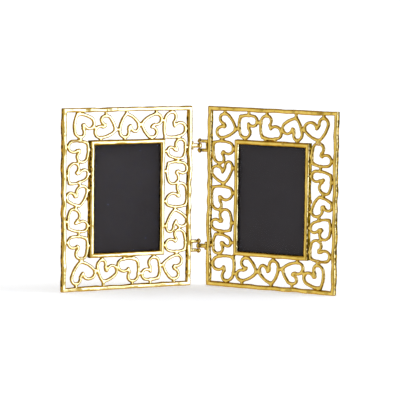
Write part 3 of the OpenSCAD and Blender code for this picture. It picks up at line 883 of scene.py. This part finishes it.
# %% Where each band ends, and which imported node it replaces
tuck, lap = 0.9, 0.05
left_end, right_end = inner_x - tuck, outer_x + tuck
band_boxes = {
    "head": ((left_end, bezel_high[2] - lap), (right_end, rail_high[2] - rail_w + tuck)),
    "foot": ((left_end, rail_w - tuck), (right_end, bezel_low[2] + lap)),
    "inner": ((left_end, bezel_low[2] - lap), (bezel_low[0] + tuck, bezel_high[2] + lap)),
    "outer": ((bezel_high[0] - tuck, bezel_low[2] - lap), (right_end, bezel_high[2] + lap)),
}
band_nodes = {
    "head": {"left": "left_bottom_hearts", "right": "right_top_hearts"},
    "foot": {"left": "left_top_hearts", "right": "right_bottom_hearts"},
    "inner": each_side("inner_hearts"),
    "outer": each_side("outer_hearts"),
}
print("bands reach", tuck, "mm into the rail and", lap, "mm past the bezel")

# %% Build the four bands and hang them on both leaves
band_spacing, wire_shoulder, band_share = 0.21, 0.94, 0.8
swell_size, swell_reach = 3.0, 0.07
wire_dent_size, wire_dent_depth = 3.4, 0.09
heart_corner_shade, heart_corner_reach, heart_corner_inset = 8, 1.9, 0.5
for band, (low, high) in band_boxes.items():
    points, faces = plate_from(distance_to_metal, low, high, band_spacing,
                               (wire_front, wire_back), wire_shoulder)
    beat = swell_reach * wander(points, swell_size, 21)
    beat = beat - wire_dent_depth * dents(points, wire_dent_size, 7)
    points = points + beat[:, None] * corner_normals(points, faces)
    # Painted shade: dark spots on the outer band beside the bezel's outer corners, where it meets the
    # bezel.
    outer_corner_shade = 0
    if band == "outer":
        for corner_z in (bezel_low[2] + heart_corner_inset, bezel_high[2] - heart_corner_inset):
            to_corner = np.linalg.norm(points[:, [0, 2]] - [bezel_high[0], corner_z], axis=1)
            outer_corner_shade = outer_corner_shade + heart_corner_shade * near(to_corner, heart_corner_reach)
    both_leaves(f"{band}_heart_band", points, faces, band_nodes[band], casting_gold, "plated_gold",
                tarnish_and_shade_of(points, faces, band_share, outer_corner_shade))

# %% [markdown]
# ## Hinges
# A fork with two knuckles takes a tongue with one, and a pin runs through all three. Cast knuckles
# are soft: a knuckle is nearly a ball with a bore, and its arm is a round bar that swells where it
# meets the rail. Each of these is a simple surface of two parameters. A fine voxel skin over them
# all makes one solid, and a little smoothing leaves the fillets that a casting has.

# %% A knuckle
knuckle_sides, profile_steps, bore_rows = 64, 25, 9


def knuckle(middle_z, half_h, radius, bore, fullness):
    """A ring about the hinge axis: r = bore + (radius - bore) c, z = half_h s, where c and s are the
    cosine and sine of the profile's angle, raised to 2 / fullness. The inner side is the bore."""
    a = np.linspace(-np.pi / 2, np.pi / 2, profile_steps)
    outer_r = bore + (radius - bore) * np.cos(a).clip(0) ** (2 / fullness)
    outer_z = half_h * np.sign(np.sin(a)) * np.abs(np.sin(a)) ** (2 / fullness)
    r = np.concatenate([outer_r, np.full(bore_rows, bore)])
    z = np.concatenate([outer_z, np.linspace(half_h, -half_h, bore_rows + 2)[1:-1]]) + middle_z
    turn = np.linspace(0, 2 * np.pi, knuckle_sides, endpoint=False)[:, None]
    return grid_surface(np.stack(np.broadcast_arrays(r * np.cos(turn), r * np.sin(turn), z), axis=-1))


print("a knuckle has", knuckle_sides * (profile_steps + bore_rows), "points")

# %% A bar
bar_rings, bar_sides = 40, 32
squareness, end_power = 0.7, 12


def cast_bar(start, end, half_sizes, waist):
    """A closed bar from start to end. Across, it is half sizes times cosine and sine, each raised to
    the squareness. They shrink by the waist in its middle, and run to nothing at its two rounded
    ends, as sqrt(1 - s^end_power) for s from -1 to 1."""
    start, end = np.array(start, float), np.array(end, float)
    s = np.sin(np.linspace(-np.pi / 2, np.pi / 2, bar_rings))[:, None]
    along = (end - start) / np.linalg.norm(end - start)
    side = np.array([-along[1], along[0], 0])
    side = side / np.linalg.norm(side) if np.linalg.norm(side) > 0.01 else np.array([0, 1.0, 0])
    up = np.cross(along, side)
    size = np.sqrt((1 - s ** end_power).clip(1e-4)) * (1 - waist * (1 - s ** 2))
    a = np.linspace(0, 2 * np.pi, bar_sides, endpoint=False)
    wide, high = (half * np.sign(wave) * np.abs(wave) ** squareness
                  for half, wave in zip(half_sizes, (np.cos(a), np.sin(a))))
    across = wide[None, :, None] * side + high[None, :, None] * up
    middle = (start + end) / 2 + (end - start) / 2 * s
    return grid_surface(middle[:, None, :] + size[:, :, None] * across)


print("a bar has", bar_rings * bar_sides, "points")

# %% A skin over several shells
skin_voxel, skin_rounds = 0.13, 4


def together(shells):
    """Several closed shells as one list of points with its faces, which all face outwards."""
    first = np.cumsum([0] + [len(points) for points, _ in shells])
    faces = [facing_out(points, faces) + k for (points, faces), k in zip(shells, first)]
    return np.concatenate([points for points, _ in shells]), np.concatenate(faces)


def skinned(shells):
    """One solid over closed shells that run into each other, its creases smoothed."""
    rough = bpy.data.objects.new("rough", mesh_from("rough", *together(shells)))
    bpy.context.scene.collection.objects.link(rough)
    skin = rough.modifiers.new("skin", "REMESH")
    skin.mode, skin.voxel_size = "VOXEL", skin_voxel
    soft = rough.modifiers.new("fillets", "SMOOTH")
    soft.factor, soft.iterations = 0.5, skin_rounds
    mesh = bpy.data.meshes.new_from_object(rough.evaluated_get(bpy.context.evaluated_depsgraph_get()))
    corners = np.empty(4 * len(mesh.polygons), dtype=np.int32)
    mesh.polygons.foreach_get("vertices", corners)
    bpy.data.objects.remove(rough)
    return corners_of(mesh), corners.reshape(-1, 4)


print("voxels of the skin, mm:", skin_voxel)

# %% The shells of the fork
knuckle_r, knuckle_bore, fork_fullness = 1.7, 0.71, 2.2
into_rail, root_out, root_front = 0.7, 0.75, 0.3
arm_start, arm_end = (0.9, 0.95), (rail_low[0] + into_rail, 1.55)
root = (rail_low[0] - root_out, (rail_low[1] + rail_high[1]) / 2 - root_front)
arm_h, fork_arm, fork_root = 2.5, (1.3, 1.25), (1.5, 1.0)
fork_low, fork_high = flat_box("right_hinge_fork")
fork_z, half_fork = (fork_low[2] + fork_high[2]) / 2, (fork_high[2] - fork_low[2]) / 2
fork_shells = []
for side in (-1, 1):
    arm_z = fork_z + side * (fork_high[2] - fork_low[2] - arm_h) / 2
    fork_shells.append(knuckle(arm_z, arm_h / 2, knuckle_r, knuckle_bore, fork_fullness))
    fork_shells.append(cast_bar((*arm_start, arm_z), (*arm_end, arm_z), fork_arm, waist=0.06))
fork_ends = (*root, fork_z - half_fork), (*root, fork_z + half_fork)
fork_shells.append(cast_bar(*fork_ends, fork_root, waist=0.1))
print("fork, mm high:", round(2 * half_fork, 2))

# %% The shells of the tongue
tongue_low, tongue_high = flat_box("right_hinge_tongue")
tongue_z = (tongue_low[2] + tongue_high[2]) / 2
tongue_h, tongue_less, tongue_fullness = 3.5, 0.08, 2.3
tongue_arm, tongue_root = (1.3, 1.65), (1.5, 0.9)
tongue_shells = [
    knuckle(tongue_z, tongue_h / 2, knuckle_r - tongue_less, knuckle_bore, tongue_fullness),
    cast_bar((*arm_start, tongue_z), (*arm_end, tongue_z), tongue_arm, waist=0.1),
    cast_bar((*root, tongue_low[2]), (*root, tongue_high[2]), tongue_root, waist=0.0),
]
print("tongue, mm high:", tongue_h)

# %% Cast the fork and the tongue
lump_size, lump_reach = 1.8, 0.12
near_pin, level_end = 1.1, 0.7
# The fork and the tongue are darkened all over, the fork more than the tongue.
for form, shells, darkening in (("fork", fork_shells, 0.38), ("tongue", tongue_shells, 0.25)):
    points, faces = skinned(shells)
    normals = corner_normals(points, faces)
    free = (np.hypot(points[:, 0], points[:, 1]) > near_pin) & (np.abs(normals[:, 2]) < level_end)
    points = points + (lump_reach * free * wander(points, lump_size, 71))[:, None] * normals
    both_leaves(form, points, faces, each_side(f"hinge_{form}"), casting_gold, "plated_gold",
                tarnish_and_shade_of(points, faces, extra=darkening))

# %% [markdown]
# ## Pins, screws and turn buttons
# The pins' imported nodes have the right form, a round bar headed over at both ends, so they only get
# a finish. At the back, two turn buttons hold each window's board in. A button is a flat bar with
# round ends and a hole: the distance to a line from its screw to its far end, less half its width,
# is its outline, and the same plate function makes it. The screws' heads are domes with a slot.

# %% Pale gold for the fittings
pale_light = (0.80, 0.64, 0.33, 1)
pale_deep = (0.66, 0.50, 0.22, 1)
fitting_gold = plated_gold("fitting_gold", 1.2, 0.02, 0.14, pale_light, pale_deep)


def refinish(nodes, finish):
    """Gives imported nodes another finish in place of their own."""
    for node in nodes:
        mesh = frame["nodes"][node].data
        mesh.materials.clear()
        mesh.materials.append(finish)


refinish(("lower_hinge_pin", "upper_hinge_pin"), fitting_gold)
print("finish:", fitting_gold.name)

# %% Cut the turn buttons
button_w, button_edge, button_spacing = 3.8, 0.22, 0.14
screw_hole_r = 0.66


def slab(distance_of, low, high, spacing, edge, margin=0.3):
    """A plate that fills the depth of a box and is cut out by a distance to its outline."""
    return plate_from(distance_of, low[[0, 2]] - margin, high[[0, 2]] + margin, spacing,
                      (low[1], high[1]), edge, wall_rows=2)


def stadium_with_hole(places, screw, far):
    """Distance to a round-ended bar, or where that is larger, how far a place is into the hole."""
    bar = distance_to_line(places, np.array([screw, far])) - button_w / 2
    return np.maximum(bar, screw_hole_r - np.linalg.norm(places - screw, axis=1))


screws = {}
for form in ("inner", "outer"):
    low, high = flat_box(f"right_{form}_turn_button")
    axis = laid_flat(np.array(joint_at[f"right_{form}_button_turn"]["pos_m"]), "right")
    screws[form] = axis[[0, 2]]
    far_x = low[0] + button_w / 2 if high[0] - axis[0] < button_w else high[0] - button_w / 2
    far = np.array([far_x, axis[2]])
    button = slab(lambda places: stadium_with_hole(places, screws[form], far),
                  low, high, button_spacing, button_edge)
    both_leaves(f"{form}_turn_button", *button, each_side(f"{form}_turn_button"),
                fitting_gold, "pale_gold", body=f"{form}_button")

# %% Turn the screws and cut their slots
screw_low, screw_high = flat_box("right_button_screws")
head_r, head_h, head_window, head_spacing = 1.3, 0.7, 1.5, 0.07
shank_r, into_head, shank_window, shank_spacing = 0.58, 0.5, 0.8, 0.1
dome_share, most_share = 0.75, 0.85
slot_half_w, slot_slope, slot_depth = 0.25, 0.1, 0.34
slot_across = [0.8, 0.6]
screw_edge = 0.1


def disc(middle, radius, window, spacing, levels, wall_rows):
    """A round plate: the distance is the one to its middle, less its radius. The window is how far
    its grid reaches from the middle."""
    return plate_from(lambda places: np.linalg.norm(places - middle, axis=1) - radius,
                      middle - window, middle + window, spacing, levels, screw_edge, wall_rows)


shells = []
for screw in screws.values():
    points, faces = disc(screw, head_r, head_window, head_spacing,
                         (screw_high[1] - head_h, screw_high[1]), wall_rows=2)
    across = points[:, [0, 2]] - screw
    dome = dome_share * head_h * (np.linalg.norm(across, axis=1) / head_r) ** 2
    slot = slot_depth * risen(slot_half_w - np.abs(across @ slot_across), slot_slope)
    on_back = points[:, 1] > screw_high[1] - head_h / 2
    points[:, 1] -= np.where(on_back, np.minimum(np.maximum(dome, slot), most_share * head_h), 0)
    shells.append((points, faces))
    shells.append(disc(screw, shank_r, shank_window, shank_spacing,
                       (screw_low[1], screw_high[1] - into_head), wall_rows=3))
both_leaves("screw_pair", *together(shells), each_side("button_screws"), fitting_gold, "pale_gold")

# %% [markdown]
# ## Felt boards
# Behind each print lies a board covered with black felt, so that the frame doesn't scratch a table
# when it is folded flat. The felt pads its edges and dulls its face. Felt is pressed fibre: it has
# no weave, only fuzz, which is a sheen at a shallow view and a fine uneven bump.

# %% Felt
def black_felt():
    """Pressed black wool: nearly no gloss, a grey sheen, short fibres that lie every way."""
    felt = Finish("black_felt", Sheen_Weight=0.35, Sheen_Roughness=0.6, Specular_IOR_Level=0.15)
    fuzz = felt.noise(0.35, detail=4.0)
    matting = felt.noise(6, detail=3.0)
    black, grey = (0.004, 0.004, 0.005, 1), (0.022, 0.022, 0.025, 1)
    colour = felt.mix(0.6 * fuzz + 0.4 * matting, black, grey)
    return felt.drive(Base_Color=colour, Roughness=0.85 + 0.12 * matting,
                      Normal=felt.bump(fuzz + 0.4 * matting, 0.16))


# %% Pad the boards
board_low, board_high = flat_box("right_backing_board")
board_round, board_edge, board_inset, board_spacing = 1.6, 0.45, 0.1, 0.5
crown, crown_reach = 0.12, 9
lint, lint_size = 0.05, 4.5


def board_distance(places):
    """Distance to a rectangle with rounded corners: how far a place lies past the corners' centres,
    across and up, taken together, less their radius."""
    middle = (board_low[[0, 2]] + board_high[[0, 2]]) / 2
    half = (board_high[[0, 2]] - board_low[[0, 2]]) / 2 - board_inset
    past = np.abs(places - middle) - half + board_round
    return np.linalg.norm(np.maximum(past, 0), axis=1) + np.minimum(past.max(axis=1), 0) - board_round


points, faces = slab(board_distance, board_low, board_high, board_spacing, board_edge)
from_rim = risen(-board_distance(points[:, [0, 2]]), crown_reach)
padding = crown * (1 - from_rim) ** 2 + lint * (0.5 + 0.5 * wander(points, lint_size, 51))
points[:, 1] -= np.where(points[:, 1] > (board_low[1] + board_high[1]) / 2, padding, 0)
both_leaves("felt_board", points, faces, each_side("backing_board"), black_felt(), "black_felt")

# %% [markdown]
# ## Glass and card
# The glass lies on the card, and two faces in one place would darken each other. So the pane is made
# anew, as the same rectangle with a little play in front and behind. A pane this thin bends nothing
# that shows, so its finish lets light straight through, and the grey of the little that it stops is
# close to the card's, so it leaves no grain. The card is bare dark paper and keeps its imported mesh.

# %% Cut the panes
pane_play, pane_edge, pane_spacing = 0.05, 0.2, 1.0
clear_glass = Finish("window_glass", Roughness=0.04, Alpha=0.03, Specular_IOR_Level=0.05,
                     Base_Color=(0.045, 0.047, 0.049, 1)).owner


def pane_distance(places):
    """Distance to the pane's rectangle: how far a place lies past its sides, the larger way."""
    return np.maximum(glass_low[[0, 2]] - places, places - glass_high[[0, 2]]).max(axis=1)


pane = slab(pane_distance, glass_low + [0, pane_play, 0], glass_high - [0, pane_play, 0],
            pane_spacing, pane_edge, margin=1)
both_leaves("window_pane", *pane, each_side("glass"), clear_glass, "clear_glass")

# %% Finish the cards
def dark_card():
    """Dark grey card: a plain colour with a soft cloud, and a roughness that is a little uneven."""
    card = Finish("grey_card", Specular_IOR_Level=0.0)
    cloud = card.noise(18, detail=1.0)
    grey, lifted = (0.053, 0.048, 0.052, 1), (0.060, 0.055, 0.059, 1)
    return card.drive(Base_Color=card.mix(cloud, grey, lifted), Roughness=0.58 + 0.06 * cloud)


refinish(each_side("photo_card").values(), dark_card())
print("glass and card finished")

# %% [markdown]
# ## Camera
# The photograph was taken from about a metre and a half away with a long lens, which the leaves'
# corners in it give. A view is three directions that stand square to each other: to the right, up,
# and back towards the camera.

# %% Camera, where the photograph was taken from
def stand_at(thing, place, right, up, back):
    """Puts a camera or lamp at a place, turned so that it looks against the back direction."""
    columns = np.column_stack([right, up, back, place])
    thing.matrix_world = Matrix(np.vstack([columns, [0, 0, 0, 1]]).tolist())


eye = np.array([-9.0, -1533.4, 241.3]) * MM
yaw, pitch, roll = (math.radians(a) for a in (-0.355, 6.638, -0.752))
focal_px, image_px, sensor_mm = 2219.7, 400, 36.0
forward = np.array([-math.sin(yaw) * math.cos(pitch), math.cos(yaw) * math.cos(pitch),
                    -math.sin(pitch)])
level_right = np.array([math.cos(yaw), math.sin(yaw), 0])
level_up = np.cross(level_right, forward)
camera_data = bpy.data.cameras.new("camera")
camera_data.lens, camera_data.sensor_width = focal_px * sensor_mm / image_px, sensor_mm
camera = bpy.data.objects.new("camera", camera_data)
bpy.context.scene.collection.objects.link(camera)
stand_at(camera, eye, math.cos(roll) * level_right - math.sin(roll) * level_up,
         math.sin(roll) * level_right + math.cos(roll) * level_up, -forward)
bpy.context.scene.camera = camera
print("lens", round(camera_data.lens, 1), "mm")

# %% [markdown]
# ## A studio for metal
# Polished metal shows its surroundings, so they are built as a photographer would build them: a tent
# of cloth round the frame, bright where the left leaf mirrors it, softer where the right leaf does,
# and dim in between, which draws the edges. A few lamps would leave the metal black between their
# spots. The tent is seen only in reflections. The floor is lit plainly by the world and one wide
# lamp, and shows white to the camera, but keeps a soft shadow. The world is white to whatever looks
# at it, and a fifth dimmer where it only gives light.

# %% Stage pieces
bpy.context.scene.view_settings.view_transform = "Standard"


def stage_piece(name, points, faces, material):
    """A piece of the studio, which is no part of the frame."""
    piece = bpy.data.objects.new(name, mesh_from(name, points, faces))
    piece.data.materials.append(material)
    bpy.context.scene.collection.objects.link(piece)
    piece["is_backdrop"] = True
    return piece


print("view:", bpy.context.scene.view_settings.view_transform)

# %% How bright the cloth is, by the angle about the vertical
tent_radius, tent_strength = 0.9, 12.0
cool, cream = (0.68, 0.90, 2.4), (0.84, 1.10, 2.7)
plain, warm = (1, 0.97, 0.90), (1.10, 0.84, 0.36)
tent_cloths = [
    (-180, 0.40, warm), (-147, 0.40, warm), (-143, 0.70, warm), (-113, 0.70, warm), (-108, 0.36, warm),
    (-82, 0.36, warm), (-77, 0.75, plain), (-64, 0.85, plain), (-60, 1.18, plain), (-42, 1.18, plain),
    (-36, 0.70, plain), (-29, 0.65, plain), (-24, 0.48, warm), (20, 0.50, warm), (29, 0.85, plain),
    (35, 1.3, cream), (39, 4.6, cool), (61, 4.6, cool), (66, 1.4, cream), (76, 0.95, plain),
    (145, 0.95, plain), (152, 0.55, warm), (180, 0.40, warm)]
overhead_left, overhead_right, underneath = 0.46, 0.66, 0.75
hem_share = 0.88
print("tent of", len(tent_cloths), "stops")

# %% A tent of light and dark cloth
tent_sides, tent_rings, tent_top = 48, 25, 88


def lit(level, tint):
    """An emission colour of the cloth at a level of brightness."""
    return [level * share / tent_strength for share in tint]


def tent_cloth():
    """Cloth whose brightness depends on the direction from the frame: by the angle about the
    vertical near eye level, fading to even cloths overhead and underneath, with a plain hem low
    down on the right."""
    cloth = Finish("tent_cloth", Roughness=1.0, Base_Color=(0, 0, 0, 1), Specular_IOR_Level=0,
                   Emission_Strength=tent_strength)
    x, y, z = (cloth.node("ShaderNodeSeparateXYZ", inputs={0: cloth.place()}, output=k)
               for k in range(3))
    across, rise = x * (1 / tent_radius), z * (1 / tent_radius)
    about = cloth.node("ShaderNodeMath", {"operation": "ARCTAN2"}, {0: x, 1: 0 - y})
    stops = [((degrees + 180) / 360, lit(level, tint)) for degrees, level, tint in tent_cloths]
    beside = cloth.node("ShaderNodeValToRGB", {"stops": stops}, {0: about * (0.5 / math.pi) + 0.5})
    hem = (0 - rise).between(0.12, 0.22) * across.between(0.2, 0.4)
    beside = cloth.mix(hem_share * hem, beside, [*lit(1, plain), 1])
    above_left, above_right, below = (
        [*lit(level, warm), 1] for level in (overhead_left, overhead_right, underneath))
    above = cloth.mix(across.between(-0.2, 0.3), above_left, above_right)
    colour = cloth.mix(rise.between(0.40, 0.55), beside, above)
    return cloth.drive(Emission_Color=cloth.mix((0 - rise).between(0.32, 0.46), colour, below))


turn = np.linspace(0, 2 * np.pi, tent_sides, endpoint=False)
rise = np.radians(np.linspace(-tent_top, tent_top, tent_rings))[:, None]
ball = np.broadcast_arrays(np.cos(rise) * np.cos(turn), np.cos(rise) * np.sin(turn), np.sin(rise))
points, faces = grid_surface(tent_radius * np.stack(ball, axis=-1))
tent = stage_piece("tent", points, faces[:-tent_sides], tent_cloth())
tent.visible_camera = tent.visible_diffuse = tent.visible_shadow = tent.visible_transmission = False
print("tent, m across:", 2 * tent_radius)

# %% Floor
floor_reach, floor_glow = 8, 0.33
paper = Finish("floor_paper", Roughness=0.9, Base_Color=(0.78, 0.80, 0.83, 1), Emission_Strength=1)
seen = paper.node("ShaderNodeLightPath", output="Is Camera Ray")
paper.drive(Emission_Color=paper.mix(seen, (0, 0, 0, 1), (floor_glow, floor_glow, floor_glow, 1)))
floor_corners = floor_reach * np.array([(-1, -1, 0), (1, -1, 0), (1, 1, 0), (-1, 1, 0)])
floor = stage_piece("floor", floor_corners, np.array([[0, 1, 2, 3]]), paper.owner)
floor.visible_glossy = False
print("floor, m wide:", 2 * floor_reach)

# %% World and lamp
world_light = 0.8
world = bpy.data.worlds.new("studio")
bpy.context.scene.world = world
sky = Net(world, "Background")
camera_ray, glossy_ray, clear_ray = (sky.node("ShaderNodeLightPath", output=f"Is {kind} Ray")
                                     for kind in ("Camera", "Glossy", "Transmission"))
looking = (camera_ray + glossy_ray + clear_ray).between(0, 1)
sky.drive(Color=(1, 1, 1, 1), Strength=world_light + (1 - world_light) * looking)


def soft_sun(name, towards, angle, strength):
    """A lamp as wide as a softbox, so far off that it lights the whole table evenly."""
    lamp = bpy.data.lights.new(name, "SUN")
    lamp.angle, lamp.energy = math.radians(angle), strength
    holder = bpy.data.objects.new(name, lamp)
    bpy.context.scene.collection.objects.link(holder)
    back = np.array(towards) / np.linalg.norm(towards)
    sideways = np.cross([0, 0, 1], back) / np.linalg.norm(np.cross([0, 0, 1], back))
    stand_at(holder, back, sideways, np.cross(back, sideways), back)
    holder.visible_camera = holder.visible_glossy = False
    return holder


soft_sun("softbox", (0.80, 0.04, 0.60), 24, 1.1)
print("stage ready")

# %% The visual size
low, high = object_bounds()
print("visual size, mm:", [round(1000 * x, 1) for x in high - low])
